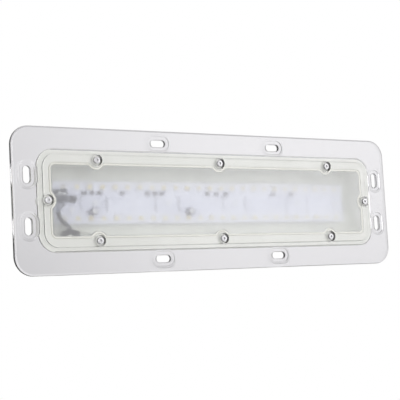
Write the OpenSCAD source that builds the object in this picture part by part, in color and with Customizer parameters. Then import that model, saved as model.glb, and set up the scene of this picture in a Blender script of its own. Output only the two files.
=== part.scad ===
// Long rectangular underwater light: a clear cover plate screwed over a sealed tray of LEDs.
// X runs along the length, Z is up and the front faces -Y. Y = 0 is the wall face of the
// cover's flange, and the tray reaches back into the wall niche towards +Y.

/* [Cover] */
// Overall length of the cover's flange
flange_w = 490; // [484:1:500]
// Overall height of the cover's flange
flange_h = 150; // [146:1:158]
// Thickness of the flange
flange_t = 4.5; // [4:0.5:5]
// Radius of the flange's corners in front view
flange_r = 20; // [12:1:24]
// How far the raised rim stands in front of the flange
rim_rise = 3; // [3:0.5:4]
// Length of the raised rim's front face
rim_w = 427; // [425:1:431]
// Height of the raised rim's front face
rim_h = 95; // [94:1:97]

/* [Window] */
// Length of the sight window
window_w = 405.6; // [400:0.2:406]
// Height of the sight window
window_h = 72; // [71:0.2:73]
// Corner radius of the sight window
window_r = 4; // [3:0.5:6]

/* [Cover screws] */
// Spacing of the three screws along each long side
screw_pitch = 152; // [145:0.5:158]
// Distance of the screw axes outside the window's edge
screw_offset = 5.4; // [5.2:0.1:5.8]
// Radius of the housing bosses that the window's edge bulges round
boss_r = 10; // [9.5:0.1:10.4]

/* [Mounting slots] */
// Length of each slot, end to end
slot_len = 17.5; // [14:0.5:19]
// Width of each slot
slot_w = 7.5; // [6.5:0.5:8.5]
// Spacing of the two slots along each long side
long_slot_pitch = 152.4; // [140:0.2:170]
// Spacing of the two slots at each end
end_slot_pitch = 51.6; // [48:0.2:60]
// Distance of the long-side slots' centres from the flange's edge
long_slot_inset = 13.6; // [12:0.2:14]
// Distance of the end slots' centres from the flange's edge
end_slot_inset = 16.4; // [15:0.2:17]

/* [Housing] */
// Depth of the tray behind the wall face
tray_depth = 28; // [26:0.5:32]
// Thickness of the tray's side walls
tray_wall = 3.2; // [3:0.1:3.6]
// Thickness of the tray's floor
tray_floor = 2.5; // [2:0.1:2.8]
// Distance of the cable gland from the middle of the light, to the left
gland_x = 178; // [172:1:181]

/* [LED board] */
// Length of the LED board
board_w = 384; // [376:1:388]
// Height of the LED board
board_h = 44; // [42:1:48]
// Number of LEDs in each row
led_columns = 24; // [12:1:24]
// Spacing of the LEDs along a row
led_pitch = 15; // [12:0.5:15]
// Spacing of the two rows
led_row_gap = 33; // [31:0.5:36]

/* [Hidden] */
$fn = 48;

// Depth levels along Y, from the front to the back
flange_front = -flange_t;
rim_front = flange_front - rim_rise;
rim_step = rim_front + rim_rise / 2;
tray_front = -2.8;
lug_front = -1.3;
tray_back = tray_depth;
floor_front = tray_back - tray_floor;
post_h = 2.4;
spreader_t = 2;
pad_t = 0.5;
board_t = 1.6;
post_front = floor_front - post_h;
board_back = post_front - spreader_t - pad_t;
board_front = board_back - board_t;

// Solids that join run this far into each other
overlap = 0.5;

// The rim's foot and the hollow behind it, in front view
tray_r = 7;
hollow_gap = 0.5;
rim_foot_w = rim_w + 12;
rim_foot_h = rim_h + 10;
rim_r = 15;
rim_foot_r = 20;
tray_flange_w = 436;
tray_flange_h = 102;
tray_flange_r = 17.5;
tray_flange_back = 0;

// Cover screws: M4 with a low socket head on a sealing washer in a round seat
screw_x = window_w / 2 + screw_offset;
screw_z = window_h / 2 + screw_offset;
SCREWS = [
    for (side = [-1, 1], column = [-1, 0, 1]) [column * screw_pitch, side * screw_z],
    for (side = [-1, 1]) [side * screw_x, 0]
];
seat_r = 5.25;
seat_floor = rim_front + 3.1;
washer_t = 0.8;
washer_r = 4.9;
head_r = 3.6;
head_h = 2.3;
head_edge = 0.6;
hex_r = 1.45;
hex_depth = 1.2;
shank_r = 2;
shank_len = 12;
clearance_r = 2.25;
insert_r = 3;
insert_len = 8;
insert_bore_r = 2.05;
insert_front = tray_front + 0.2;
pilot_back = 10;
outer_boss_r = 6.5;
outer_boss_back = 13;

// Mounting slots, each in a dished recess of two steps
slot_margin = 4;
recess_depth = 1;
dish_margin = 6.2;
dish_depth = 0.4;
long_slot_z = flange_h / 2 - long_slot_inset;
end_slot_x = flange_w / 2 - end_slot_inset;

// Gasket groove round the mouth of the tray, measured outwards from the window's edge
groove_near = 0.3;
groove_far = 2.5;
gasket_gap = 0.1;
groove_depth = 1.5;

// Support lugs for the diffuser on the tray's inner walls
lug_w = 3;
lug_reach = 1.4;
lug_len = 5;
lug_x = 184;
lug_z = 17;
diffuser_gap = 0.3;

// The board's circuit repeats in cells along X, each with two columns of resistors
cells = 4;
cell_pitch = 89;
first_cell_x = -161;
CELLS = [for (i = [0:cells - 1]) first_cell_x + i * cell_pitch];

// Fixings of the board stack
fixing_from_cell = 16;
BOARD_FIXINGS = [[-172, -8], for (x = CELLS) [x + fixing_from_cell, 0], [180, 0]];
post_r = 3.6;
screw_tip_gap = 0.4;
post_bore_r = 1.25;
post_bore_back = floor_front + 1.3;
board_hole_r = 1.7;
board_screw_r = 1.2;
board_head_r = 2.75;
board_head_h = 1.6;
board_slot_w = 0.8;
spreader_margin = 2;

// Parts on the board
led_size = 5;
led_h = 1.5;
led_well_r = 2;
led_well_depth = 0.4;
led_first_x = -165;
chip_w = 5;
chip_h = 1.6;
chip_d = 4.2;
chip_z = 10;
CHIPS = [-157, -148, -139, -112, -81, -72, -63, -4, 8, 21, 87, 114];
resistor_w = 2.2;
resistor_h = 0.7;
resistor_d = 1.5;
resistor_rows = 6;
resistor_pitch = 2.8;
resistor_top_z = 5.6;
second_column_x = 30;
can_r = 4;
can_h = 7;
can_z = -9.5;
CANS = [-148, -29];
rectifier = [8, 3, 8];
rectifier_at = [-170.5, 3.5];
terminal = [11, 9, 13];
terminal_at = [-185.5, 6.5];
terminal_mouth_r = 1.3;
terminal_mouth_y = board_front - 5;
terminal_mouth_depth = 4;
terminal_screw_r = 1.7;
terminal_screw_h = 1.2;
terminal_slot_w = 0.7;
terminal_screw_lift = 2;
pole_gap = 5.1;

// Cable gland through the tray's bottom wall, axis along Z
gland_y = 11.5;
wall_in = -window_h / 2;
wall_out = wall_in - tray_wall;
thread_r = 6;
gland_hex_af = 15;
gland_hex_h = 3.4;
ring_t = 0.8;
nut_af = 17;
nut_h = 6;
dome_h = 7.2;
dome_tip_r = 5.2;
cord_r = 2.2;
mouth_r = 2.35;
passage_r = 3.4;
hex_top = wall_out - ring_t;
hex_bottom = hex_top - gland_hex_h;
dome_bottom = hex_bottom - dome_h;
thread_end = 1.3;
body_top = wall_in + nut_h + thread_end;
body_bottom = hex_bottom - 4.6;
skirt_r = 5.4;
seal_r = 4.45;
seal_h = 4.8;
dome_hex_h = 4.4;

// Routes of the cable tail and the two leads, bottom to top
tail_end = [-gland_x - 12.5, gland_y - 1, -11];
TAIL = [[-gland_x, gland_y, hex_top], [-gland_x, gland_y, body_top], [-gland_x - 3, gland_y - 0.2, -24.5],
        [-gland_x - 8, gland_y - 0.6, -20.5], [-gland_x - 11.5, gland_y - 0.8, -16], tail_end];
LEAD_BLACK = [tail_end + [1, 0, 0], tail_end + [3, 0.5, 4],
              [terminal_at[0] + pole_gap / 2, terminal_mouth_y, -3],
              [terminal_at[0] + pole_gap / 2, terminal_mouth_y, 2.5]];
LEAD_BLUE = [tail_end - [1, 0, 0], tail_end + [-0.5, 0.5, 4],
             [terminal_at[0] - pole_gap / 2, terminal_mouth_y, -3],
             [terminal_at[0] - pole_gap / 2, terminal_mouth_y, 2.5]];
lead_r = 0.8;

// Shapes in front view, extruded along Y between two depths
module slab(front, back) {
    translate([0, back, 0]) rotate([90, 0, 0]) linear_extrude(back - front) children();
}

module rod(r, front, back, at = [0, 0]) {
    translate([at[0], back, at[1]]) rotate([90, 0, 0]) cylinder(r = r, h = back - front);
}

module rounded_rect(w, h, r) {
    square([w - 2 * r, h], center = true);
    square([w, h - 2 * r], center = true);
    for (x = [-1, 1], y = [-1, 1])
        translate([x * (w / 2 - r), y * (h / 2 - r)]) circle(r);
}

module stadium(len, w, upright = false) {
    rotate(upright ? 90 : 0) {
        square([len - w, w], center = true);
        for (x = [-1, 1]) translate([x * (len - w) / 2, 0]) circle(w / 2);
    }
}

// The window's outline, moved outwards by grow, with its bulges round the screw bosses
module window_outline(grow = 0) {
    difference() {
        rounded_rect(window_w + 2 * grow, window_h + 2 * grow, max(window_r + grow, 1));
        for (at = SCREWS) translate(at) circle(boss_r - grow);
    }
}

module slot_pattern(grow = 0) {
    len = slot_len + 2 * grow;
    w = slot_w + 2 * grow;
    for (x = [-1, 1], z = [-1, 1]) {
        translate([x * long_slot_pitch / 2, z * long_slot_z]) stadium(len, w);
        translate([x * end_slot_x, z * end_slot_pitch / 2]) stadium(len, w, upright = true);
    }
}

// A round bar along a route of points: rings of flat sides, joined from end to end
function unit(v) = v / norm(v);
function along(path, i) = unit(path[min(i + 1, len(path) - 1)] - path[max(i - 1, 0)]);
function ring(path, i, r, sides) =
    let (t = along(path, i), u = unit(cross(t, [0, 1, 0])), v = cross(u, t))
    [for (k = [0:sides - 1]) path[i] + r * (cos(360 * k / sides) * u + sin(360 * k / sides) * v)];
function blend(a, b, c, d, s) =
    0.5 * (2 * b + (c - a) * s + (2 * a - 5 * b + 4 * c - d) * s * s
           + (3 * b - a - 3 * c + d) * s * s * s);
function smooth_path(p, steps) =
    let (n = len(p) - 1)
    concat([for (i = [0:n - 1], k = [0:steps - 1])
        blend(p[max(i - 1, 0)], p[i], p[i + 1], p[min(i + 2, n)], k / steps)], [p[n]]);

module round_bar(points, r, sides = 8, steps = 4) {
    path = smooth_path(points, steps);
    n = len(path);
    rings = [for (i = [0:n - 1]) each ring(path, i, r, sides)];
    walls = [for (i = [0:n - 2], k = [0:sides - 1])
        let (a = i * sides + k, b = i * sides + (k + 1) % sides)
        [a, a + sides, b + sides, b]];
    first = [for (k = [0:sides - 1]) k];
    last = [for (k = [sides - 1:-1:0]) (n - 1) * sides + k];
    polyhedron(points = rings, faces = concat([first, last], walls), convexity = 6);
}

module front_cover() {
    color([0.86, 0.86, 0.9, 0.45])
    difference() {
        union() {
            slab(flange_front, 0) rounded_rect(flange_w, flange_h, flange_r);
            slab(rim_step, flange_front + overlap) rounded_rect(rim_foot_w, rim_foot_h, rim_foot_r);
            slab(rim_front, rim_step + overlap) rounded_rect(rim_w, rim_h, rim_r);
        }
        slab(tray_front, 1) rounded_rect(
            tray_flange_w + 2 * hollow_gap,
            tray_flange_h + 2 * hollow_gap,
            tray_flange_r + hollow_gap
        );
        slab(rim_front - 1, 1) slot_pattern();
        slab(rim_front - 1, flange_front + recess_depth) slot_pattern(slot_margin);
        slab(rim_front - 1, flange_front + dish_depth) slot_pattern(dish_margin);
        for (at = SCREWS) {
            rod(clearance_r, rim_front - 1, 1, at);
            rod(seat_r, rim_front - 1, seat_floor, at);
        }
    }
}

module diffuser_panel() {
    color([0.93, 0.94, 0.93, 0.6])
    slab(tray_front, lug_front) window_outline(-diffuser_gap);
}

module main_gasket() {
    color([0.95, 0.95, 0.9])
    slab(tray_front, tray_front + groove_depth) difference() {
        window_outline(groove_far - gasket_gap);
        window_outline(groove_near + gasket_gap);
    }
}

module rear_housing() {
    color([0.89, 0.89, 0.84])
        difference() {
            union() {
                slab(tray_front, tray_flange_back)
                    rounded_rect(tray_flange_w, tray_flange_h, tray_flange_r);
                slab(-1, tray_back)
                    rounded_rect(window_w + 2 * tray_wall, window_h + 2 * tray_wall, tray_r);
                for (at = SCREWS) rod(outer_boss_r, -1, outer_boss_back, at);
            }
            difference() {
                slab(tray_front - 1, floor_front) window_outline();
                support_lugs();
                for (at = BOARD_FIXINGS) rod(post_r, post_front, tray_back, at);
            }
            slab(tray_front - 1, tray_front + groove_depth) difference() {
                window_outline(groove_far);
                window_outline(groove_near);
            }
            for (at = SCREWS) {
                rod(insert_r, tray_front - 1, insert_front + insert_len, at);
                rod(clearance_r, 0, pilot_back, at);
            }
            for (at = BOARD_FIXINGS) rod(post_bore_r, post_front - 1, post_bore_back, at);
            at_gland(wall_out - 1) cylinder(r = thread_r + 0.2, h = tray_wall + 2);
        }
}

module support_lugs() {
    slab(lug_front, lug_front + lug_len)
        for (side = [-1, 1], k = [-1, 1]) {
            translate([k * lug_x, side * window_h / 2]) square([lug_w, 2 * lug_reach], center = true);
            translate([side * window_w / 2, k * lug_z]) square([2 * lug_reach, lug_w], center = true);
        }
}

module threaded_inserts() {
    color([0.78, 0.62, 0.3])
    for (at = SCREWS) difference() {
        rod(insert_r, insert_front, insert_front + insert_len, at);
        rod(insert_bore_r, insert_front - 1, insert_front + insert_len + 1, at);
    }
}

module cover_screws() {
    seat = seat_floor - washer_t;
    color([0.75, 0.76, 0.77])
    for (at = SCREWS) difference() {
        union() {
            rod(head_r, seat - head_h + head_edge, seat, at);
            rod(head_r - head_edge, seat - head_h, seat, at);
            rod(shank_r, seat - overlap, seat + shank_len, at);
        }
        translate([at[0], seat - head_h + hex_depth, at[1]])
            rotate([90, 0, 0]) cylinder(r = hex_r, h = hex_depth + 1, $fn = 6);
    }
}

module sealing_washers() {
    color([0.8, 0.8, 0.78])
    for (at = SCREWS) difference() {
        rod(washer_r, seat_floor - washer_t, seat_floor, at);
        rod(shank_r + 0.1, seat_floor - 2, seat_floor + 1, at);
    }
}

module led_board() {
    color([0.93, 0.93, 0.97])
    difference() {
        slab(board_front, board_back) square([board_w, board_h], center = true);
        for (at = BOARD_FIXINGS) rod(board_hole_r, board_front - 1, board_back + 1, at);
    }
}

module led_packages() {
    color([0.97, 0.97, 0.92])
    for (i = [0:led_columns - 1], side = [-1, 1]) {
        at = [led_first_x + i * led_pitch, side * led_row_gap / 2];
        difference() {
            slab(board_front - led_h, board_front) translate(at) square(led_size, center = true);
            rod(led_well_r, board_front - led_h - 1, board_front - led_h + led_well_depth, at);
        }
    }
}

// A block of the given size that stands on the board's front, centred on a place in front view
module on_board(at, size) {
    translate([at[0] - size[0] / 2, board_front - size[1], at[1] - size[2] / 2]) cube(size);
}

module driver_chips() {
    color([0.25, 0.26, 0.3])
    for (x = CHIPS) on_board([x, chip_z], [chip_w, chip_h, chip_d]);
}

module chip_resistors() {
    color([0.2, 0.2, 0.22])
    for (x = CELLS, column = [0, second_column_x], row = [0:resistor_rows - 1])
        on_board([x + column, resistor_top_z - row * resistor_pitch],
                 [resistor_w, resistor_h, resistor_d]);
}

module storage_capacitors() {
    color([0.6, 0.6, 0.58])
    for (x = CANS)
        rod(can_r, board_front - can_h, board_front, [x, can_z]);
}

module bridge_rectifier() {
    color([0.2, 0.2, 0.22]) on_board(rectifier_at, rectifier);
}

module terminal_block() {
    mouth_z = terminal_at[1] - terminal[2] / 2;
    front = board_front - terminal[1];
    color([0.35, 0.38, 0.44])
    difference() {
        on_board(terminal_at, terminal);
        for (side = [-1, 1]) {
            translate([terminal_at[0] + side * pole_gap / 2, terminal_mouth_y, mouth_z - 1])
                cylinder(r = terminal_mouth_r, h = terminal_mouth_depth + 1);
            rod(terminal_screw_r + 0.1, front - 1, front + 0.3 + terminal_screw_h, terminal_screw_at(side));
        }
    }
}

function terminal_screw_at(side) =
    [terminal_at[0] + side * pole_gap / 2, terminal_at[1] + terminal_screw_lift];

module terminal_screws() {
    front = board_front - terminal[1] + 0.3;
    color([0.7, 0.7, 0.72])
    for (side = [-1, 1]) {
        at = terminal_screw_at(side);
        difference() {
            rod(terminal_screw_r, front, front + terminal_screw_h, at);
            translate([at[0] - terminal_slot_w / 2, front - 1, at[1] - 2 * terminal_screw_r])
                cube([terminal_slot_w, 1.5, 4 * terminal_screw_r]);
        }
    }
}

module board_screws() {
    color([0.75, 0.76, 0.77])
    for (at = BOARD_FIXINGS) difference() {
        union() {
            rod(board_head_r, board_front - board_head_h, board_front, at);
            rod(board_screw_r, board_front - overlap, post_bore_back - screw_tip_gap, at);
        }
        translate([at[0] - 2 * board_head_r, board_front - board_head_h - 1, at[1] - board_slot_w / 2])
            cube([4 * board_head_r, 1.8, board_slot_w]);
    }
}

module heat_spreader() {
    color([0.8, 0.81, 0.83])
    difference() {
        slab(post_front - spreader_t, post_front)
            square([board_w - 2 * spreader_margin, board_h - 2 * spreader_margin], center = true);
        for (at = BOARD_FIXINGS) rod(board_hole_r, post_front - spreader_t - 1, post_front + 1, at);
    }
}

module thermal_pad() {
    color([0.75, 0.72, 0.78])
    difference() {
        slab(board_back, board_back + pad_t)
            square([board_w - 4 * spreader_margin, board_h - 4 * spreader_margin], center = true);
        for (at = BOARD_FIXINGS) rod(board_hole_r + 1, board_back - 1, board_back + pad_t + 1, at);
    }
}

module cable_tail() {
    color([0.12, 0.12, 0.13]) round_bar(TAIL, cord_r, 12);
}

module lead_black() {
    color([0.1, 0.1, 0.1]) round_bar(LEAD_BLACK, lead_r);
}

module lead_blue() {
    color([0.25, 0.3, 0.45]) round_bar(LEAD_BLUE, lead_r);
}

// The gland's pieces stand on one upright axis
module at_gland(z) {
    translate([-gland_x, gland_y, z]) children();
}

module hexagon(across_flats, h) {
    rotate(30) cylinder(d = across_flats / cos(30), h = h, $fn = 6);
}

module gland_body() {
    color([0.1, 0.1, 0.1])
    difference() {
        union() {
            at_gland(hex_bottom) hexagon(gland_hex_af, gland_hex_h);
            at_gland(hex_bottom) cylinder(r = thread_r, h = body_top - hex_bottom);
            at_gland(body_bottom) cylinder(r = skirt_r, h = hex_bottom - body_bottom + overlap);
        }
        at_gland(body_bottom - 1) cylinder(r = seal_r + 0.15, h = seal_h + 1.2);
        at_gland(body_bottom - 1) cylinder(r = mouth_r, h = hex_top - body_bottom + 2);
        at_gland(hex_top) cylinder(r = passage_r, h = body_top - hex_top + 1);
    }
}

module gland_locknut() {
    color([0.12, 0.12, 0.12])
    difference() {
        at_gland(wall_in) hexagon(nut_af, nut_h);
        at_gland(wall_in - 1) cylinder(r = thread_r, h = nut_h + 2);
    }
}

module gland_sealing_ring() {
    color([0.2, 0.2, 0.2])
    difference() {
        at_gland(hex_top) cylinder(r = gland_hex_af / 2, h = ring_t);
        at_gland(hex_top - 1) cylinder(r = thread_r + 0.1, h = ring_t + 2);
    }
}

module gland_dome_nut() {
    color([0.1, 0.1, 0.1])
    difference() {
        union() {
            at_gland(hex_bottom - dome_hex_h) hexagon(gland_hex_af, dome_hex_h);
            at_gland(dome_bottom)
                cylinder(r1 = dome_tip_r, r2 = gland_hex_af / 2 - 0.3, h = dome_h - dome_hex_h + 0.1);
        }
        at_gland(body_bottom) cylinder(r = skirt_r + 0.05, h = hex_bottom - body_bottom + 1);
        at_gland(dome_bottom - 1) cylinder(r = mouth_r, h = dome_h);
    }
}

module gland_seal_insert() {
    color([0.3, 0.3, 0.3])
    difference() {
        at_gland(body_bottom) cylinder(r = seal_r, h = seal_h);
        at_gland(body_bottom - 1) cylinder(r = mouth_r, h = seal_h + 2);
    }
}

front_cover();
diffuser_panel();
main_gasket();
rear_housing();
threaded_inserts();
cover_screws();
sealing_washers();
led_board();
led_packages();
driver_chips();
chip_resistors();
storage_capacitors();
bridge_rectifier();
terminal_block();
terminal_screws();
board_screws();
heat_spreader();
thermal_pad();
cable_tail();
lead_black();
lead_blue();
gland_body();
gland_locknut();
gland_sealing_ring();
gland_dome_nut();
gland_seal_insert();
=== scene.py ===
import math

import bpy
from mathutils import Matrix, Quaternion, Vector


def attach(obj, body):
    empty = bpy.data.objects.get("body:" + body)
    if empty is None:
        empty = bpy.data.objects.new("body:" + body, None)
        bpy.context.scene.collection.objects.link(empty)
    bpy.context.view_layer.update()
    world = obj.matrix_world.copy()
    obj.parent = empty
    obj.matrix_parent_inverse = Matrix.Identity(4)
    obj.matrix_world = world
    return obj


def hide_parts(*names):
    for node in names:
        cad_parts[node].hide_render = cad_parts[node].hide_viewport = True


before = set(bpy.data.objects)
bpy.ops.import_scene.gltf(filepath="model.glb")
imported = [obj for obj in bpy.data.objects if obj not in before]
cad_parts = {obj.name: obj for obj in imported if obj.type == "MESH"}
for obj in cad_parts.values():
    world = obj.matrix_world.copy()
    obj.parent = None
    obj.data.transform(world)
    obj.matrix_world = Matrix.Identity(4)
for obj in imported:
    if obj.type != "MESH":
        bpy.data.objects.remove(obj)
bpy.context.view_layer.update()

ops = bpy.ops
MM = 0.001


# ---------------------------------------------------------------- camera

CAMERA_AT = Vector((-653.4, -960.9, -104.4)) * MM
CAMERA_LOOKS_AT = Vector((-27.2, -4.5, 1.0)) * MM
CAMERA_ROLL = math.radians(-3.18)
CAMERA_LENS = 95.07

camera_data = bpy.data.cameras.new("camera")
camera_data.lens = CAMERA_LENS
camera_data.sensor_width = 36
camera_data.clip_start = 0.05
camera_data.clip_end = 50
camera = bpy.data.objects.new("camera", camera_data)
bpy.context.scene.collection.objects.link(camera)
camera.location = CAMERA_AT
camera.rotation_mode = "QUATERNION"
camera.rotation_quaternion = (
    (CAMERA_LOOKS_AT - CAMERA_AT).to_track_quat("-Z", "Y") @ Quaternion((0, 0, 1), CAMERA_ROLL)
)
bpy.context.scene.camera = camera


# ---------------------------------------------------------------- sizes, as in the design (mm)

CLOSE_ENOUGH = 0.02
MERGE = 0.002
FLANGE = (490, 150)
FLANGE_R = 20
RIM_FOOT = (439, 105)
RIM_FOOT_R = 20
RIM_CROWN = (427, 95)
RIM_CROWN_R = 15
POCKET = (437, 103)
POCKET_R = 18
FLANGE_FRONT = -4.5
RIM_FRONT = -7.5
RIM_STEP = -6.0
TRAY_FRONT = -2.8
SCREW_PITCH = 152
SCREWS = [(x, z) for z in (-41.4, 41.4) for x in (-SCREW_PITCH, 0, SCREW_PITCH)] + [(-208.2, 0), (208.2, 0)]
WINDOW = (405.6, 72)
WINDOW_BOSS_R = 10
FILLET = 3
TRAY = (412, 78.4)
TRAY_R = 7
TRAY_BACK = 28
TRAY_FLOOR = 25.5
LIP = (436, 102)
LIP_R = 17.5
BOSS_R = 6.5
BOSS_BACK = 13
POST_FRONT = 23.1
POST_R = 3.6
INSERT_R = 3
INSERT_BACK = 5.4
GROOVE_DEPTH = 1.5
LUG_DEPTH = 5
LUG_X = 184
LUG_Z = 17
LUG_W = 3
LUG_REACH = 1.4
CELLS = (-161, -72, 17, 106)
LED_FIRST_X = -165
LED_PITCH = 15
LED_COLUMNS = 24
LED_ROW_Z = 16.5
BOARD_FRONT = 19
BOARD_FIXINGS = [(-172, -8), *((x + 16, 0) for x in CELLS), (180, 0)]
CORNER_R = 4
LONG_SLOTS = [(x, z) for x in (-76.2, 76.2) for z in (-61.4, 61.4)]
END_SLOTS = [(x, z) for x in (-228.6, 228.6) for z in (-25.8, 25.8)]
SEAT_FLOOR = -4.4
SLOT_LENGTH = 17.5
SLOT_WIDTH = 7.5
# how far the slot's wall stands outside its edge, at each depth: shoulder, step, floor, eased lips
SLOT_SECTION = (
    (6.5, -9), (6.5, -4.5), (6.15, -4.38), (5.65, -4.18), (4.4, -4.1), (4.2, -3.8), (3.95, -3.58),
    (3.55, -3.5), (0.9, -3.5), (0.55, -3.4), (0.2, -3.1), (0, -2.7), (0, -0.6), (0.15, -0.25), (0.5, 0),
    (0.5, 1))
SEAT_SECTION = (
    (6.4, -9), (6.4, -7.6), (6.1, -7.4), (5.8, -7.0), (4.95, -4.5), (4.95, -4.4), (2.25, -4.4), (2.25, 1))
WASHER_T = 0.8
WASHER_R = 4.9
HEAD_R = 3.6
HEAD_H = 2.3
SHANK_R = 2
GLAND = (-178, 11.5)


# ---------------------------------------------------------------- finishes

class Value:
    """One output of a node. Arithmetic on it adds Math nodes to its finish."""

    def __init__(self, finish, socket):
        self.finish, self.socket = finish, socket

    def math(self, operation, first, *rest):
        return self.finish.node("ShaderNodeMath", {"operation": operation}, dict(enumerate((first, *rest))))

    def __add__(self, other):
        return self.math("ADD", self, other)

    def __sub__(self, other):
        return self.math("SUBTRACT", self, other)

    def __rsub__(self, other):
        return self.math("SUBTRACT", other, self)

    def __mul__(self, other):
        return self.math("MULTIPLY", self, other)

    def __lt__(self, other):
        return self.math("LESS_THAN", self, other)

    def __gt__(self, other):
        return self.math("GREATER_THAN", self, other)

    __radd__ = __add__
    __rmul__ = __mul__

    def size(self):
        return self.math("ABSOLUTE", self)

    def within(self, other):
        """The smaller of the two: where both masks hold."""
        return self.math("MINIMUM", self, other)

    def either(self, other):
        return self.math("MAXIMUM", self, other)

    def repeat(self, step):
        """Distance from the middle of the nearest of cells that are one step apart."""
        return self.math("PINGPONG", self, step / 2)

    def ramp(self, low, high, at_low=0.0, at_high=1.0):
        """A smooth change from at_low to at_high as the value goes from low to high."""
        return self.finish.node(
            "ShaderNodeMapRange",
            {"interpolation_type": "SMOOTHSTEP"},
            {"Value": self, "From Min": low, "From Max": high, "To Min": at_low, "To Max": at_high},
        )


class Finish:
    """A material that is put together from nodes."""

    def __init__(self, name):
        self.material = bpy.data.materials.new(name)
        self.material.use_nodes = True
        self.tree = self.material.node_tree
        self.tree.nodes.clear()
        self.place = self.node("ShaderNodeTexCoord", out="Object")

    def node(self, kind, settings=None, values=None, out=0):
        new = self.tree.nodes.new(kind)
        for name, value in (settings or {}).items():
            setattr(new, name, value)
        for name, value in (values or {}).items():
            if isinstance(value, Value):
                self.tree.links.new(value.socket, new.inputs[name])
            else:
                new.inputs[name].default_value = value
        return Value(self, new.outputs[out])

    def axis(self, name):
        """One of the coordinates X, Y, Z, in millimetres."""
        return self.node("ShaderNodeSeparateXYZ", values={0: self.place}, out=name) * 1000

    def noise(self, scale, detail=4, roughness=0.55, place=None):
        """Noise with features about 1/scale metres across, from 0 to 1."""
        values = {"Vector": place or self.place, "Scale": scale, "Detail": detail, "Roughness": roughness}
        return self.node("ShaderNodeTexNoise", values=values)

    def stretched(self, x, y, z):
        """The place with each axis scaled, for patterns that run along one axis."""
        return self.node("ShaderNodeMapping", values={"Vector": self.place, "Scale": (x, y, z)})

    def attribute(self, name):
        return self.node("ShaderNodeAttribute", {"attribute_name": name}, out="Fac")

    def blend(self, factor, first, second):
        """A colour between two colours."""
        return self.node(
            "ShaderNodeMix",
            {"data_type": "RGBA"},
            {0: factor, 6: first, 7: second},
            out=2,
        )

    def bumps(self, height, strength, distance):
        values = {"Height": height, "Strength": strength, "Distance": distance}
        return self.node("ShaderNodeBump", values=values)

    def shader(self, **values):
        return self.node("ShaderNodeBsdfPrincipled", values={
            name.replace("_", " "): value for name, value in values.items()
        })

    def done(self, surface):
        output = self.tree.nodes.new("ShaderNodeOutputMaterial")
        self.tree.links.new(surface.socket, output.inputs["Surface"])
        return self.material

    def lets_lamps_through(self, glass, tint):
        """The shader with a clear one in its place for rays on their way to a lamp."""
        lamp_ray = self.node("ShaderNodeLightPath", out="Is Shadow Ray")
        clear = self.node("ShaderNodeBsdfTransparent", values={"Color": tint})
        return self.node("ShaderNodeMixShader", values={0: lamp_ray, 1: glass, 2: clear})


def clear_polycarbonate(name, haze):
    """Clear moulding with a faint flow waviness and fine handling marks; cut walls have more haze."""
    f = Finish(name)
    flow = f.noise(9, 2, 0.4)
    marks = f.noise(260, 3, 0.6)
    rough = flow.ramp(0.35, 0.7, 0.02, 0.07) + marks.ramp(0.55, 0.75, haze, haze + 0.03)
    normal = f.bumps(flow, 0.25, 0.0012)
    glass = f.shader(
        Base_Color=(0.91, 0.91, 0.925, 1), Roughness=rough, IOR=1.58,
        Transmission_Weight=1.0, Normal=normal,
    )
    return f.done(f.lets_lamps_through(glass, (0.97, 0.97, 0.98, 1)))


def frosted_sheet():
    """Opal sheet: rough on the back, so what lies deeper is blurred more."""
    f = Finish("frosted_sheet")
    grain = f.noise(1400, 2, 0.6)
    cloud = f.noise(30, 3, 0.5)
    rough = (f.axis("Y") > TRAY_FRONT + 0.8) * cloud.ramp(0.3, 0.7, 0.29, 0.34) + 0.03
    normal = f.bumps(grain, 0.15, 0.0001)
    colour = f.blend(cloud.ramp(0.3, 0.7), (0.95, 0.96, 0.945, 1), (0.97, 0.98, 0.965, 1))
    glass = f.shader(Base_Color=colour, Roughness=rough, IOR=1.49, Transmission_Weight=0.97, Normal=normal)
    return f.done(f.lets_lamps_through(glass, (1, 1, 1, 1)))


def cream_moulding():
    """Cream housing plastic: fine spark-eroded grain, with slow changes of shade."""
    f = Finish("cream_moulding")
    grain = f.noise(2200, 3, 0.6)
    shade = f.noise(14, 3, 0.5)
    colour = f.blend(shade.ramp(0.3, 0.7), (0.80, 0.815, 0.74, 1), (0.85, 0.86, 0.79, 1))
    rough = grain.ramp(0.3, 0.7, 0.38, 0.5)
    normal = f.bumps(grain, 0.2, 0.00006)
    return f.done(f.shader(Base_Color=colour, Roughness=rough, IOR=1.52, Normal=normal))


def cream_silicone():
    """Bright, soft gasket with a faint bloom."""
    f = Finish("cream_silicone")
    bloom = f.noise(60, 4, 0.6)
    pores = f.noise(1500, 2, 0.6)
    colour = f.blend(bloom.ramp(0.3, 0.7), (0.90, 0.90, 0.80, 1), (0.95, 0.945, 0.86, 1))
    rough = bloom.ramp(0.3, 0.7, 0.35, 0.55)
    normal = f.bumps(pores, 0.15, 0.00005)
    return f.done(f.shader(Base_Color=colour, Roughness=rough, IOR=1.42, Normal=normal))


def turned_steel():
    """Stainless steel with fine rings from the lathe; 'turn' is the distance from the axis."""
    f = Finish("turned_steel")
    rings = f.noise(1, 3, 0.7, place=f.node(
        "ShaderNodeCombineXYZ", values={0: f.attribute("turn") * 9000, 1: 0.0, 2: 0.0}))
    smear = f.noise(700, 3, 0.5)
    colour = f.blend(smear.ramp(0.35, 0.7), (0.50, 0.50, 0.51, 1), (0.62, 0.62, 0.63, 1))
    rough = rings.ramp(0.3, 0.7, 0.18, 0.34)
    normal = f.bumps(rings, 0.25, 0.00004)
    return f.done(f.shader(Base_Color=colour, Roughness=rough, Metallic=1.0, Normal=normal))


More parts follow.
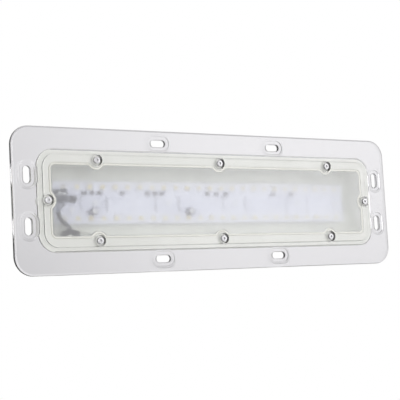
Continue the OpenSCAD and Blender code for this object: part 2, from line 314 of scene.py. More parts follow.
def black_nylon():
    """Black gland nylon with a dull moulded skin."""
    f = Finish("black_nylon")
    skin = f.noise(900, 4, 0.6)
    wear = f.noise(120, 4, 0.6)
    colour = f.blend(wear.ramp(0.4, 0.75), (0.008, 0.008, 0.009, 1), (0.018, 0.018, 0.019, 1))
    rough = skin.ramp(0.3, 0.7, 0.38, 0.58)
    normal = f.bumps(skin, 0.25, 0.00005)
    return f.done(f.shader(Base_Color=colour, Roughness=rough, IOR=1.53, Normal=normal))


def white_solder_mask():
    """White board: copper runs show as a faint relief, with bare pads at the LEDs."""
    f = Finish("white_solder_mask")
    x, z = f.axis("X"), f.axis("Z")
    runs = (z.repeat(4.2) < 0.55).within(z.size() < 13.2)
    breaks = f.noise(1, 2, 0.5, place=f.stretched(16, 1, 90)) > 0.5
    copper = runs.within(breaks)
    rows = ((z.size() - 16.5).size() < 3.1).within(x.repeat(30) < 3.4)
    speckle = f.noise(1200, 3, 0.6)
    plain = f.blend(speckle.ramp(0.3, 0.7), (0.80, 0.82, 0.95, 1), (0.85, 0.87, 0.99, 1))
    traced = f.blend(copper, plain, (0.66, 0.69, 0.85, 1))
    colour = f.blend(rows, traced, (0.62, 0.60, 0.56, 1))
    normal = f.bumps(copper.either(rows), 0.4, 0.00008)
    return f.done(f.shader(Base_Color=colour, Roughness=speckle.ramp(0.3, 0.7, 0.32, 0.45), Normal=normal))


def grained(name, noise, dark, light, rough, relief, stretch=None, **more):
    """A finish whose shade, gloss and relief all follow one noise.

    noise: scale, detail, roughness; rough: least and most; relief: strength and height in metres.
    """
    f = Finish(name)
    grain = f.noise(*noise, place=f.stretched(*stretch) if stretch else None)
    colour = f.blend(grain.ramp(0.3, 0.7), (*dark, 1), (*light, 1))
    return f.done(f.shader(
        Base_Color=colour, Roughness=grain.ramp(0.3, 0.7, *rough), Normal=f.bumps(grain, *relief), **more))


CLEAR = clear_polycarbonate("clear_polycarbonate", 0)
CLEAR_WALLS = clear_polycarbonate("clear_polycarbonate_walls", 0.35)
FROSTED = frosted_sheet()
CREAM = cream_moulding()
SILICONE = cream_silicone()
STEEL = turned_steel()
WASHER = grained(
    "grey_rubber", (900, 3, 0.6), (0.80, 0.81, 0.77), (0.86, 0.87, 0.83), (0.45, 0.65), (0.2, 0.00005))
NYLON = black_nylon()
RUBBER_SKIN = {"noise": (1300, 3, 0.6), "rough": (0.5, 0.7), "relief": (0.2, 0.00004)}
CABLE = grained("cable_rubber", dark=(0.018, 0.018, 0.020), light=(0.040, 0.040, 0.042), **RUBBER_SKIN)
BLUE = grained("blue_insulation", dark=(0.05, 0.08, 0.18), light=(0.09, 0.13, 0.26), **RUBBER_SKIN)
SEAL = grained("seal_rubber", dark=(0.022, 0.022, 0.022), light=(0.05, 0.05, 0.05), **RUBBER_SKIN)
BRASS = grained(
    "machined_brass", (1, 3, 0.6), (0.46, 0.31, 0.09), (0.66, 0.48, 0.17), (0.22, 0.4), (0.2, 0.00003),
    stretch=(900, 4000, 900), Metallic=1.0)
# sheet with the grain of rolling along X
ALUMINIUM = grained(
    "rolled_aluminium", (1, 4, 0.6), (0.58, 0.59, 0.60), (0.74, 0.75, 0.76), (0.25, 0.42), (0.2, 0.00004),
    stretch=(20, 900, 900), Metallic=1.0)
BOARD = white_solder_mask()
LED_BODY = grained(
    "led_body", (2500, 3, 0.6), (0.86, 0.85, 0.78), (0.93, 0.92, 0.86), (0.3, 0.45), (0.1, 0.00004))
PHOSPHOR = grained(
    "led_phosphor", (3500, 3, 0.7), (0.80, 0.62, 0.12), (0.90, 0.74, 0.22), (0.12, 0.25), (0.1, 0.00003),
    Coat_Weight=0.6)
EPOXY = grained(
    "moulded_epoxy", (3000, 4, 0.65), (0.018, 0.018, 0.022), (0.045, 0.045, 0.052), (0.45, 0.65),
    (0.3, 0.00004))
TINNED = grained(
    "tinned_lead", (1800, 3, 0.6), (0.55, 0.56, 0.57), (0.78, 0.78, 0.78), (0.25, 0.45), (0.2, 0.00004),
    Metallic=1.0)
SLEEVE = grained(
    "capacitor_sleeve", (900, 3, 0.6), (0.05, 0.05, 0.09), (0.09, 0.09, 0.15), (0.3, 0.45), (0.15, 0.00004))
TERMINAL = grained(
    "terminal_plastic", (1600, 3, 0.6), (0.045, 0.052, 0.075), (0.075, 0.085, 0.115), (0.4, 0.55),
    (0.2, 0.00005))
PAD = grained(
    "gap_pad", (1000, 3, 0.6), (0.34, 0.30, 0.40), (0.42, 0.38, 0.48), (0.7, 0.85), (0.3, 0.00006))


# ---------------------------------------------------------------- bench tools

def nothing_selected():
    if bpy.context.mode != "OBJECT":
        ops.object.mode_set(mode="OBJECT")
    ops.object.select_all(action="DESELECT")


def take(piece):
    nothing_selected()
    piece.select_set(True)
    bpy.context.view_layer.objects.active = piece
    return piece


def unmarked(piece):
    """The piece's mesh, made active, with nothing in it selected."""
    take(piece)
    for part in (piece.data.vertices, piece.data.edges, piece.data.polygons):
        part.foreach_set("select", [False] * len(part))
    return piece.data


def open_faces(piece, test):
    """Opens the piece with the faces selected whose centre (mm) and normal pass the test."""
    mesh = unmarked(piece)
    for face in mesh.polygons:
        face.select = bool(test(face.center / MM, face.normal))
    bpy.context.tool_settings.mesh_select_mode = (False, False, True)
    ops.object.mode_set(mode="EDIT")


def open_edges(piece, test):
    """Opens the piece with the edges selected whose two ends (mm) pass the test."""
    mesh = unmarked(piece)
    for edge in mesh.edges:
        a, b = (mesh.vertices[i].co / MM for i in edge.vertices)
        if test(a, b):
            edge.select = True
            for i in edge.vertices:
                mesh.vertices[i].select = True
    bpy.context.tool_settings.mesh_select_mode = (False, True, False)
    ops.object.mode_set(mode="EDIT")


def close():
    ops.object.mode_set(mode="OBJECT")


def round_over(width, steps):
    ops.mesh.bevel(offset=width * MM, segments=steps, profile=0.5, affect="EDGES", clamp_overlap=False)
    close()


def near(a, b):
    return abs(a - b) < CLOSE_ENOUGH


def settled(name):
    """The new active object, named, with its place in its mesh."""
    piece = bpy.context.object
    piece.name = piece.data.name = name
    ops.object.transform_apply(location=True, rotation=True, scale=True)
    return piece


def block(name, size, middle):
    """A box of that size (mm), with its place in its mesh."""
    nothing_selected()
    ops.mesh.primitive_cube_add(size=1, location=Vector(middle) * MM, scale=Vector(size) * MM)
    return settled(name)


def plate(name, w, h, front, back, radius, steps):
    """A plate that stands across Y, with rounded corners in front view."""
    piece = block(name, (w, back - front, h), (0, (front + back) / 2, 0))
    open_edges(piece, lambda a, b: near(a.x, b.x) and near(a.z, b.z))
    round_over(radius, steps)
    return piece


def rod(name, radius, front, back, at, sides):
    """A rod that lies along Y at a place (x, z)."""
    nothing_selected()
    ops.mesh.primitive_cylinder_add(
        vertices=sides, radius=radius * MM, depth=(back - front) * MM,
        location=Vector((at[0], (front + back) / 2, at[1])) * MM, rotation=(math.pi / 2, 0, 0))
    return settled(name)


def post(name, radius, bottom, top, at, sides):
    """A rod that stands up along Z at a place (x, y)."""
    nothing_selected()
    ops.mesh.primitive_cylinder_add(
        vertices=sides, radius=radius * MM, depth=(top - bottom) * MM,
        location=Vector((at[0], at[1], (bottom + top) / 2)) * MM)
    return settled(name)


def step_in(piece, test, *steps):
    """Insets the chosen face step by step: (inwards, outwards along its normal), in mm."""
    open_faces(piece, test)
    for inwards, rise in steps:
        ops.mesh.inset(thickness=inwards * MM, depth=rise * MM)
    close()


def front_rim(y):
    """Picks the edges all round the outline that lie at one depth."""
    return lambda a, b: near(a.y, y) and near(b.y, y)


def combine(piece, tool, operation):
    take(piece)
    change = piece.modifiers.new("combine", "BOOLEAN")
    change.operation = operation
    change.solver = "EXACT"
    change.material_mode = "TRANSFER" if tool.data.materials else "INDEX"
    change.object = tool
    ops.object.modifier_apply(modifier=change.name)
    bpy.data.objects.remove(tool)
    return piece


def cut(piece, *tools):
    for tool in tools:
        combine(piece, tool, "DIFFERENCE")
    return piece


def weld(piece, *others):
    for other in others:
        combine(piece, other, "UNION")
    return piece


def gather(name, pieces):
    """Joins pieces into one object without changing their shapes."""
    nothing_selected()
    for piece in pieces:
        piece.select_set(True)
    bpy.context.view_layer.objects.active = pieces[0]
    ops.object.join()
    whole = bpy.context.object
    whole.name = whole.data.name = name
    return whole


def copies(piece, places):
    """The piece and a copy at each further place (x, z), in mm from the first."""
    made = [piece]
    first = Vector(places[0])
    for place in places[1:]:
        take(piece)
        ops.object.duplicate()
        copy = bpy.context.object
        shift = (Vector(place) - first) * MM
        copy.location = (shift[0], 0, shift[1])
        ops.object.transform_apply(location=True, rotation=False, scale=False)
        made.append(copy)
    return made


def tidy_mesh(piece):
    take(piece)
    ops.object.mode_set(mode="EDIT")
    ops.mesh.select_all(action="SELECT")
    ops.mesh.remove_doubles(threshold=MERGE * MM)
    ops.mesh.normals_make_consistent(inside=False)
    close()


def smooth(piece, degrees=35):
    take(piece)
    ops.object.shade_smooth_by_angle(angle=math.radians(degrees))


def keep_flats_flat(piece):
    take(piece)
    change = piece.modifiers.new("flats", "WEIGHTED_NORMAL")
    change.keep_sharp = True
    change.weight = 100
    ops.object.modifier_apply(modifier=change.name)


def finish_with(piece, material, slot, *nodes):
    if not piece.data.materials:
        piece.data.materials.append(material)
    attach(piece, "root")
    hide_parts(*nodes)
    return piece


def mark_turning(piece, centres):
    """Keeps each point's distance from its own axis, for the rings of turned metal."""
    layer = piece.data.attributes.new("turn", "FLOAT", "POINT")
    for i, vertex in enumerate(piece.data.vertices):
        place = (vertex.co.x / MM, vertex.co.z / MM)
        layer.data[i].value = min(math.dist(place, c) for c in centres) * MM


def repaint(node, material):
    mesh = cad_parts[node].data
    mesh.materials.clear()
    mesh.materials.append(material)


def middles(node):
    """The middles (x, z), in mm, of the separate solids of a design node, from left to right."""
    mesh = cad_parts[node].data
    corners = [tuple(round(c / MM, 2) for c in vertex.co) for vertex in mesh.vertices]
    leads_to = {corner: corner for corner in corners}

    def home(corner):
        while leads_to[corner] != corner:
            corner = leads_to[corner]
        return corner

    for face in mesh.polygons:
        for i in face.vertices[1:]:
            leads_to[home(corners[i])] = home(corners[face.vertices[0]])
    solids = {}
    for corner in leads_to:
        solids.setdefault(home(corner), []).append(corner)
    return sorted(
        tuple(round((min(c[axis] for c in solid) + max(c[axis] for c in solid)) / 2, 2) for axis in (0, 2))
        for solid in solids.values())


def arc(centre, radius, start, end, steps):
    """Points (x, z) on an arc, from one angle to the other, in degrees."""
    for i in range(steps + 1):
        angle = math.radians(start + (end - start) * i / steps)
        yield centre[0] + radius * math.cos(angle), centre[1] + radius * math.sin(angle)


def skin(name, rings, closed, upright=False):
    """A surface over rings (points, depth): closed on itself, or with a face at each end.

    The rings stand across Y, or lie across Z when upright.
    """
    count = len(rings[0][0])
    corners = [
        Vector((u, v, depth) if upright else (u, depth, v)) * MM
        for points, depth in rings for u, v in points]
    faces = []
    for i in range(len(rings) if closed else len(rings) - 1):
        here, there = i * count, (i + 1) % len(rings) * count
        for j in range(count):
            k = (j + 1) % count
            faces.append((here + j, here + k, there + k, there + j))
    if not closed:
        faces += [range(count), range(len(corners) - count, len(corners))]
    mesh = bpy.data.meshes.new(name)
    mesh.from_pydata(corners, [], faces)
    piece = bpy.data.objects.new(name, mesh)
    bpy.context.scene.collection.objects.link(piece)
    tidy_mesh(piece)
    return piece


# ---------------------------------------------------------------- cover

def slot_outline(at, upright, margin):
    """A mounting slot's edge, moved outwards by a margin."""
    half, radius = (SLOT_LENGTH - SLOT_WIDTH) / 2, SLOT_WIDTH / 2 + margin
    points = [*arc((half, 0), radius, -90, 90, 16), *arc((-half, 0), radius, 90, 270, 16)]
    return [(at[0] - z, at[1] + x) if upright else (at[0] + x, at[1] + z) for x, z in points]


def with_hazy_walls(tool):
    """Gives the cutter's steep walls the hazier finish, which the cut takes over."""
    tool.data.materials.append(CLEAR)
    tool.data.materials.append(CLEAR_WALLS)
    for face in tool.data.polygons:
        face.material_index = int(abs(face.normal.y) < 0.5)
    return tool


def clear_cover():
    cover = plate("clear_cover", *FLANGE, FLANGE_FRONT, 0, FLANGE_R, 20)
    open_edges(cover, front_rim(FLANGE_FRONT))
    round_over(2.2, 6)
    open_edges(cover, front_rim(0))
    round_over(0.7, 3)

    foot = plate("foot", *RIM_FOOT, RIM_STEP, FLANGE_FRONT + 0.4, RIM_FOOT_R, 20)
    open_edges(foot, front_rim(RIM_STEP))
    round_over(1.2, 5)
    crown = plate("crown", *RIM_CROWN, RIM_FRONT, RIM_STEP + 0.6, RIM_CROWN_R, 16)
    open_edges(crown, front_rim(RIM_FRONT))
    round_over(1.4, 5)
    weld(cover, foot, crown)

    cut(cover, plate("pocket", *POCKET, TRAY_FRONT, 1, POCKET_R, 16))
    cover.data.materials.append(CLEAR)
    for places, upright in ((LONG_SLOTS, False), (END_SLOTS, True)):
        for at in places:
            cut(cover, with_hazy_walls(skin("slot", [
                (slot_outline(at, upright, margin), y) for margin, y in SLOT_SECTION], False)))
    for at in SCREWS:
        cut(cover, with_hazy_walls(skin("seat", [
            (list(arc(at, radius, 0, 360 - 360 / 48, 47)), y) for radius, y in SEAT_SECTION], False)))
    tidy_mesh(cover)
    smooth(cover)
    keep_flats_flat(cover)
    return finish_with(cover, CLEAR, "cover", "front_cover")


clear_cover()


# ---------------------------------------------------------------- housing

def window_outline(grow):
    """The window's edge, moved outwards by grow: it bulges inwards round each screw boss.

    Every outline has the same count of points, so outlines skin into bands.
    """
    half_w, half_h = WINDOW[0] / 2, WINDOW[1] / 2
    beyond = abs(SCREWS[0][1]) - half_h
    reach = WINDOW_BOSS_R + FILLET
    rise = math.degrees(math.asin((beyond + FILLET) / reach))
    run = reach * math.cos(math.radians(rise))
    sides = (
        (0, half_w, half_h, (0,)),
        (90, half_h, half_w, (SCREW_PITCH, 0, -SCREW_PITCH)),
        (180, half_w, half_h, (0,)),
        (270, half_h, half_w, (SCREW_PITCH, 0, -SCREW_PITCH)),
    )
    points = []
    for turn, out, half, bosses in sides:
        side = []
        for at in bosses:
            place = -at if turn else at
            side += arc((out - FILLET, place - run), FILLET + grow, 0, rise, 4)
            side += arc((out + beyond, place), WINDOW_BOSS_R - grow, 180 + rise, 180 - rise, 16)
            side += arc((out - FILLET, place + run), FILLET + grow, -rise, 0, 4)
        side += arc((out - CORNER_R, half - CORNER_R), CORNER_R + grow, 0, 90, 8)
        c, s = round(math.cos(math.radians(turn))), round(math.sin(math.radians(turn)))
        points += [(c * u - s * v, s * u + c * v) for u, v in side]
    return points


def lug(at, w, h):
    """A small shelf that the frosted sheet rests on."""
    front = TRAY_FRONT + GROOVE_DEPTH
    shelf = block("lug", (w, LUG_DEPTH, h), (at[0], front + LUG_DEPTH / 2, at[1]))
    open_edges(shelf, front_rim(front + LUG_DEPTH))
    round_over(0.6, 2)
    return shelf


def cream_tray():
    tray = plate("cream_tray", *TRAY, -1, TRAY_BACK, TRAY_R, 10)
    open_edges(tray, front_rim(TRAY_BACK))
    round_over(2.0, 4)
    step_in(tray, lambda c, n: c.y > TRAY_BACK - 0.01, (3.5, 0), (0.5, -0.4))
    lip_front = TRAY_FRONT + 0.15
    lip = plate("lip", *LIP, lip_front, 0, LIP_R, 16)
    open_edges(lip, front_rim(lip_front))
    round_over(0.4, 2)
    weld(tray, lip)
    for at in SCREWS:
        boss = rod("boss", BOSS_R, -1, BOSS_BACK, at, 40)
        open_edges(boss, front_rim(BOSS_BACK))
        round_over(1.2, 3)
        weld(tray, boss)
    cavity = skin("cavity", [
        (window_outline(0.4), -5), (window_outline(0.4), lip_front), (window_outline(0), lip_front + 0.4),
        (window_outline(0), TRAY_FLOOR - 1), (window_outline(-0.3), TRAY_FLOOR - 0.3),
        (window_outline(-1), TRAY_FLOOR)], False)
    groove_floor = TRAY_FRONT + GROOVE_DEPTH
    groove = skin("groove", [
        (window_outline(0.35), -5), (window_outline(2.9), -5),
        (window_outline(2.9), groove_floor), (window_outline(0.35), groove_floor)], True)
    cut(tray, cavity, groove)
    for way in (-1, 1):
        for x in (-LUG_X, LUG_X):
            weld(tray, lug((x, way * (WINDOW[1] / 2 - LUG_REACH / 2 + 0.5)), LUG_W, LUG_REACH + 1))
        for z in (-LUG_Z, LUG_Z):
            weld(tray, lug((way * (WINDOW[0] / 2 - LUG_REACH / 2 + 0.5), z), LUG_REACH + 1, LUG_W))
    for at in BOARD_FIXINGS:
        weld(tray, rod("board_post", POST_R, POST_FRONT, TRAY_FLOOR + 0.5, at, 32))
    for at in SCREWS:
        cut(tray, rod("insert_hole", INSERT_R, -5, INSERT_BACK, at, 32))
    cut(tray, post("gland_hole", 6.2, -45, -30, GLAND, 40))
    tidy_mesh(tray)
    smooth(tray)
    keep_flats_flat(tray)
    return finish_with(tray, CREAM, "housing", "rear_housing")


def window_bead():
    """The gasket: a soft round-fronted band that stands in its groove."""
    front = TRAY_FRONT + 0.03
    section = ((0.45, 1.42), (0.45, 0.55), (0.55, 0.2), (0.8, 0.05), (1.35, 0), (1.9, 0.05), (2.15, 0.2),
               (2.25, 0.55), (2.25, 1.42))
    bead = skin("window_bead", [(window_outline(out), front + depth) for out, depth in section], True)
    smooth(bead, 50)
    return finish_with(bead, SILICONE, "gasket", "main_gasket")


def diffuser():
    """The frosted sheet, with its edge eased, just behind the cover."""
    front = TRAY_FRONT + 0.15
    sheet = skin("frosted_sheet", [
        (window_outline(-0.5), front), (window_outline(-0.3), front + 0.2),
        (window_outline(-0.3), front + 1.2), (window_outline(-0.5), front + 1.35)], False)
    smooth(sheet, 30)
    keep_flats_flat(sheet)
    return finish_with(sheet, FROSTED, "diffuser", "diffuser_panel")


cream_tray()
window_bead()
diffuser()


# ---------------------------------------------------------------- screws and washers

def cover_screws():
    """Low socket heads: a chamfered crown over a turned side, with a hexagon socket."""
    first = SCREWS[0]
    head_back = SEAT_FLOOR - WASHER_T
    screw = rod("cover_screws_set", HEAD_R, head_back - HEAD_H, head_back, first, 40)
    open_edges(screw, front_rim(head_back - HEAD_H))
    round_over(0.55, 4)
    weld(screw, rod("shank", SHANK_R, head_back - 0.4, head_back + 12, first, 24))
    socket = rod("socket", 1.6, head_back - 4, head_back - 1.0, first, 6)
    cut(screw, socket)
    tidy_mesh(screw)
    smooth(screw, 30)
    screw.data.materials.append(STEEL)
    whole = gather("cover_screws_set", copies(screw, SCREWS))
    mark_turning(whole, SCREWS)
    return finish_with(whole, STEEL, "stainless", "cover_screws")


def sealing_washers():
    first = SCREWS[0]
    ring = rod("sealing_washers_set", WASHER_R, SEAT_FLOOR - WASHER_T, SEAT_FLOOR, first, 40)
    open_edges(ring, front_rim(SEAT_FLOOR - WASHER_T))
    round_over(0.3, 3)
    cut(ring, rod("bore", 2.1, -9, 1, first, 24))
    tidy_mesh(ring)
    smooth(ring)
    ring.data.materials.append(WASHER)
    whole = gather("sealing_washers_set", copies(ring, SCREWS))
    return finish_with(whole, WASHER, "washer", "sealing_washers")


cover_screws()
sealing_washers()


# ---------------------------------------------------------------- on the board

def led_packages():
    """Square packages with a round cup of phosphor."""
    first = (LED_FIRST_X, -LED_ROW_Z)
    places = [(LED_FIRST_X + LED_PITCH * i, z) for z in (-LED_ROW_Z, LED_ROW_Z) for i in range(LED_COLUMNS)]
    package = block("led_set", (5, 1.5, 5), (first[0], BOARD_FRONT - 0.75, first[1]))
    open_edges(package, lambda a, b: near(a.x, b.x) and near(a.z, b.z))
    round_over(0.35, 1)
    package.data.materials.append(LED_BODY)
    cup = skin("cup", [
        (list(arc(first, radius, 0, 345, 23)), BOARD_FRONT - height)
        for radius, height in ((2.1, 2), (2.1, 1.5), (1.9, 1.1))], False)
    for material in (LED_BODY, PHOSPHOR):
        cup.data.materials.append(material)
    for face in cup.data.polygons:
        face.material_index = int(face.normal.y > 0.9)
    cut(package, cup)
    whole = gather("led_set", copies(package, places))
    return finish_with(whole, LED_BODY, "led", "led_packages")


def gull_lead(x, z, way):
    """A lead that leaves a chip's side, bends down and lies on the board."""
    lead = block("lead", (0.42, 0.18, 0.5), (x, BOARD_FRONT - 0.8, z + way * 1.9))
    open_faces(lead, lambda c, n: n.z * way > 0.9)
    ops.mesh.extrude_region_move(TRANSFORM_OT_translate={"value": (0, 0.62 * MM, way * 0.25 * MM)})
    ops.mesh.extrude_region_move(TRANSFORM_OT_translate={"value": (0, 0.08 * MM, way * 0.45 * MM)})
    close()
    return lead


def driver_chips():
    places = middles("driver_chips")
    x, z = places[0]
    body = block("chip_set", (5, 1.45, 3.4), (x, BOARD_FRONT - 0.875, z))
    open_edges(body, lambda a, b: near(a.y, b.y))
    round_over(0.18, 1)
    cut(body, rod("dot", 0.35, BOARD_FRONT - 2, BOARD_FRONT - 1.52, (x - 1.7, z - 1), 12))
    body.data.materials.append(EPOXY)
    leads = [gull_lead(x + step, z, way) for way in (-1, 1) for step in (-1.8, -0.6, 0.6, 1.8)]
    for lead in leads:
        lead.data.materials.append(TINNED)
    chip = gather("chip_set", [body, *leads])
    whole = gather("chip_set", copies(chip, places))
    return finish_with(whole, EPOXY, "chip", "driver_chips")


def chip_resistors():
    places = [(x + side, 5.6 - 2.8 * row) for x in CELLS for side in (0, 30) for row in range(6)]
    x, z = places[0]
    body = block("resistor_set", (1.5, 0.55, 1.4), (x, BOARD_FRONT - 0.33, z))
    body.data.materials.append(EPOXY)
    ends = []
    for way in (-1, 1):
        end = block("end", (0.42, 0.66, 1.48), (x + way * 0.9, BOARD_FRONT - 0.34, z))
        open_edges(end, lambda a, b: near(a.y, b.y) and a.y < BOARD_FRONT - 0.4)
        round_over(0.1, 1)
        end.data.materials.append(TINNED)
        ends.append(end)
    resistor = gather("resistor_set", [body, *ends])
    whole = gather("resistor_set", copies(resistor, places))
    return finish_with(whole, EPOXY, "chip", "chip_resistors")


def storage_capacitors():
    """Sleeved cans with a bare top and a crimped neck."""
    places = middles("storage_capacitors")
    section = (
        (0.0, 7), (2.9, 7), (3.0, 6.9), (3.3, 6.85), (3.7, 6.95), (3.95, 6.7), (4.0, 6.3), (4.0, 1.9),
        (3.75, 1.6), (3.7, 1.35), (3.75, 1.1), (4.0, 0.8), (4.0, 0.15), (3.8, 0))
    can = skin("capacitor_set", [
        (list(arc(places[0], max(radius, 0.01), 0, 350, 35)), BOARD_FRONT - height)
        for radius, height in section], False)
    smooth(can, 50)
    can.data.materials.append(SLEEVE)
    can.data.materials.append(TINNED)
    for face in can.data.polygons:
        out = math.dist((face.center.x / MM, face.center.z / MM), places[0])
        face.material_index = int(out < 3.1 and face.center.y / MM < BOARD_FRONT - 6)
    whole = gather("capacitor_set", copies(can, places))
    return finish_with(whole, SLEEVE, "can", "storage_capacitors")


def bridge_rectifier():
    """A low square body with a cut corner and four leads."""
    (x, z), = middles("bridge_rectifier")
    body = block("rectifier_body", (8, 2.9, 6.8), (x, BOARD_FRONT - 1.5, z))
    open_edges(body, lambda a, b: near(a.x, b.x) and near(a.z, b.z) and a.x < x and a.z > z)
    round_over(1.4, 1)
    open_edges(body, front_rim(BOARD_FRONT - 2.95))
    round_over(0.35, 2)
    body.data.materials.append(EPOXY)
    leads = []
    for way in (-1, 1):
        for side in (-2.5, 2.5):
            lead = block("lead", (1.2, 0.3, 0.5), (x + side, BOARD_FRONT - 1.3, z + way * 3.5))
            open_faces(lead, lambda c, n: n.z * way > 0.9)
            ops.mesh.extrude_region_move(TRANSFORM_OT_translate={"value": (0, 1.1 * MM, way * 0.25 * MM)})
            close()
            lead.data.materials.append(TINNED)
            leads.append(lead)
    return finish_with(gather("rectifier_body", [body, *leads]), EPOXY, "chip", "bridge_rectifier")


for make in (led_packages, driver_chips, chip_resistors, storage_capacitors, bridge_rectifier):
    make()


# ---------------------------------------------------------------- gland and wires

WALL_IN = -36
RING_BOTTOM = -40
HEX_BOTTOM = -43.4
DOME_BOTTOM = -50.6
NUT_TOP = WALL_IN + 6
BODY_TOP = NUT_TOP + 1.3
GLAND_HEX = 15
NUT_HEX = 17
THREAD_R = 6
PASSAGE_R = 3.4
MOUTH_R = 2.35
BELOW = -60


def turned(name, section):
    """A round piece on the gland's axis, over (radius, height) from its bottom to its top."""
    sides = 48
    rings = [(list(arc(GLAND, radius, 0, 360 - 360 / sides, sides - 1)), z) for radius, z in section]
    return skin(name, rings, False, upright=True)


def hexagon(name, across, bottom, top):
    """A hexagon bar, its corners turned off at both ends."""
    bar = post(name, across / 2 / math.cos(math.radians(30)), bottom, top, GLAND, 6)
    corner, flat = across / 2 * 1.15, across / 2 * 0.97
    section = ((flat, bottom - 0.01), (corner, bottom + 1), (corner, top - 1), (flat, top + 0.01))
    return combine(bar, turned("turn_off", section), "INTERSECT")


def thread_rings(bottom, top, crest, root, pitch):
    """The section of a screw thread, as rings."""
    section = [(root, bottom)]
    for i in range(int((top - bottom - 0.6) / pitch)):
        z = bottom + 0.3 + i * pitch
        section += [(root, z), (crest, z + pitch * 0.4), (crest, z + pitch * 0.55), (root, z + pitch * 0.95)]
    return section + [(root, top - 0.3), (root - 0.3, top)]


def gland_body():
    body = hexagon("gland_hexagon", GLAND_HEX, HEX_BOTTOM, RING_BOTTOM)
    weld(body, turned("thread", thread_rings(HEX_BOTTOM + 0.5, BODY_TOP, THREAD_R, 5.5, 1.5)))
    flare = PASSAGE_R + 0.5
    cut(body, turned("passage", (
        (PASSAGE_R, RING_BOTTOM), (PASSAGE_R, BODY_TOP - 0.5), (flare, BODY_TOP + 0.01), (flare, 0))))
    cut(body, turned("mouth", ((MOUTH_R, BELOW), (MOUTH_R, RING_BOTTOM + 1))))
    tidy_mesh(body)
    smooth(body, 30)
    return finish_with(body, NYLON, "gland", "gland_body")


def gland_locknut():
    nut = hexagon("gland_lock_nut", NUT_HEX, WALL_IN + 0.02, NUT_TOP)
    cut(nut, turned("bore", (
        (6.5, WALL_IN - 1), (6.02, WALL_IN + 0.5), (6.02, NUT_TOP - 0.5), (6.5, NUT_TOP + 1))))
    tidy_mesh(nut)
    smooth(nut, 30)
    return finish_with(nut, NYLON, "gland", "gland_locknut")


def gland_dome_nut():
    """A hexagon above a rounded nose."""
    dome = turned("gland_dome", (
        (MOUTH_R, DOME_BOTTOM + 0.6), (2.6, DOME_BOTTOM + 0.1), (3.0, DOME_BOTTOM), (4.6, DOME_BOTTOM + 0.05),
        (5.4, DOME_BOTTOM + 0.45), (6.3, DOME_BOTTOM + 1.3), (7.0, DOME_BOTTOM + 2.2),
        (7.25, DOME_BOTTOM + 3.0), (7.25, HEX_BOTTOM - 0.3), (7.0, HEX_BOTTOM - 0.02)))
    weld(dome, hexagon("dome_hexagon", GLAND_HEX, DOME_BOTTOM + 2.9, HEX_BOTTOM - 0.02))
    cut(dome, turned("dome_hollow", ((MOUTH_R, BELOW), (MOUTH_R, -48.1), (5.45, -48.1), (5.45, RING_BOTTOM))))
    tidy_mesh(dome)
    smooth(dome, 30)
    return finish_with(dome, NYLON, "gland", "gland_dome_nut")


def gland_sealing_ring():
    ring = turned("gland_ring", (
        (7.2, RING_BOTTOM + 0.02), (7.45, RING_BOTTOM + 0.2), (7.5, RING_BOTTOM + 0.4),
        (7.45, RING_BOTTOM + 0.6), (7.2, RING_BOTTOM + 0.78)))
    cut(ring, turned("bore", ((6.05, -45), (6.05, -35))))
    tidy_mesh(ring)
    smooth(ring, 40)
    return finish_with(ring, SEAL, "seal", "gland_sealing_ring")


def wire(name, radius, points, material, slot, node):
    """A smooth insulated wire through the points, closed at both ends."""
    nothing_selected()
    route = bpy.data.curves.new(name, "CURVE")
    route.dimensions = "3D"
    route.bevel_depth = radius * MM
    route.bevel_resolution = 4
    route.resolution_u = 8
    route.use_fill_caps = True
    spline = route.splines.new("NURBS")
    spline.points.add(len(points) - 1)
    for point, place in zip(spline.points, points):
        point.co = (*(Vector(place) * MM), 1)
    spline.order_u = 4
    spline.use_endpoint_u = True
    run = bpy.data.objects.new(name, route)
    bpy.context.scene.collection.objects.link(run)
    take(run)
    ops.object.convert(target="MESH")
    run = bpy.context.object
    tidy_mesh(run)
    smooth(run, 60)
    return finish_with(run, material, slot, node)


for make in (gland_body, gland_locknut, gland_dome_nut, gland_sealing_ring):
    make()
TAIL_END = (-190.5, 10.5, -11)
wire("cable_tail_run", 2.15, (
    (-178, 11.5, -40), (-178, 11.5, -34), (-178, 11.5, -27), (-182, 11.2, -23), (-187.5, 10.9, -20),
    (-190.3, 10.6, -15.5), TAIL_END), CABLE, "cable", "cable_tail")
for side, tone, slot, node in ((1, CABLE, "cable", "lead_black"), (-1, BLUE, "lead_blue", "lead_blue")):
    x, y, z = TAIL_END
    mouth = -185.5 + side * 2.55
    wire(node + "_run", 0.78, (
        (x + side, y, z - 0.5), (x + side, y, z + 1.5), (x + 1.5 * side, y + 0.5, z + 4.5),
        (mouth, 13.4, -4.5), (mouth, 14, -1.5), (mouth, 14, 2.4)), tone, slot, node)


# ---------------------------------------------------------------- carried-over nodes

for node, material in {
    "threaded_inserts": BRASS,
    "led_board": BOARD,
    "terminal_block": TERMINAL,
    "terminal_screws": TINNED,
    "board_screws": TINNED,
    "heat_spreader": ALUMINIUM,
    "thermal_pad": PAD,
    "gland_seal_insert": SEAL,
}.items():
    repaint(node, material)


# ---------------------------------------------------------------- studio

# middle of the patch, cosine at its edge and where it is full, strength outside and inside
BACKDROP = ((0.5, 0.7, 0.5), 0.76, 0.95, 0.5, 0.80)
SIDE_WINDOW = ((0.72, -0.69, 0.1), 0.91, 0.99, 0.0, 1.4)
ROOM_FRONT = ((0, -1, 0), -0.2, 0.8, 0.0, 0.2)


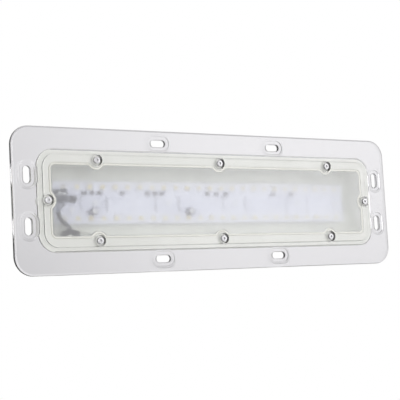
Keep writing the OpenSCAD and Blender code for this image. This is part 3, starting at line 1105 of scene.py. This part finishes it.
def light_tent(tree):
    """White behind the object, greyer towards the sides and the front."""
    def node(kind, values=None, **settings):
        new = tree.nodes.new(kind)
        for name, value in settings.items():
            setattr(new, name, value)
        for name, value in (values or {}).items():
            if isinstance(value, bpy.types.NodeSocket):
                tree.links.new(value, new.inputs[name])
            else:
                new.inputs[name].default_value = value
        return new

    tree.nodes.clear()
    way = node("ShaderNodeTexCoord").outputs["Generated"]

    def glow(middle, edge_cosine, full_cosine, low, high):
        """Light that swells from the edge of a round patch of sky to its middle."""
        towards = node(
            "ShaderNodeVectorMath", {0: way, 1: Vector(middle).normalized()}, operation="DOT_PRODUCT")
        return node("ShaderNodeMapRange", {
            "Value": towards.outputs["Value"], "From Min": edge_cosine, "From Max": full_cosine,
            "To Min": low, "To Max": high}, interpolation_type="SMOOTHSTEP").outputs[0]

    strength = glow(*BACKDROP)
    for patch in (SIDE_WINDOW, ROOM_FRONT):
        strength = node("ShaderNodeMath", {0: strength, 1: glow(*patch)}, operation="ADD").outputs[0]
    tent = node("ShaderNodeBackground", {"Color": (1, 0.99, 1, 1), "Strength": strength})
    seen = node("ShaderNodeBackground", {"Color": (1, 1, 1, 1), "Strength": 1.0})
    which = node("ShaderNodeMixShader", {
        0: node("ShaderNodeLightPath").outputs["Is Camera Ray"], 1: tent.outputs[0], 2: seen.outputs[0]})
    node("ShaderNodeOutputWorld", {"Surface": which.outputs[0]})


def studio():
    scene = bpy.context.scene
    scene.view_settings.view_transform = "Standard"
    world = bpy.data.worlds.new("studio")
    scene.world = world
    world.use_nodes = True
    light_tent(world.node_tree)

    nothing_selected()
    ops.mesh.primitive_circle_add(vertices=96, radius=2.0, fill_type="NGON", location=(0, 0, -0.5))
    floor = bpy.context.object
    floor.name = "floor"
    pale = bpy.data.materials.new("pale_floor")
    pale.use_nodes = True
    shader = pale.node_tree.nodes["Principled BSDF"]
    shader.inputs["Base Color"].default_value = (0.9, 0.9, 0.9, 1)
    shader.inputs["Roughness"].default_value = 0.9
    floor.data.materials.append(pale)

    for name, at, power, size in (
        ("soft_box_left", (-0.2, -1.7, 0.35), 6.5, 1.2),
        ("soft_box_above", (0.4, -0.9, 1.7), 1.5, 1.0),
    ):
        lamp_data = bpy.data.lights.new(name, "AREA")
        lamp_data.energy = power
        lamp_data.size = size
        lamp = bpy.data.objects.new(name, lamp_data)
        scene.collection.objects.link(lamp)
        lamp.location = at
        lamp.rotation_mode = "QUATERNION"
        lamp.rotation_quaternion = (-Vector(at)).to_track_quat("-Z", "Y")


studio()
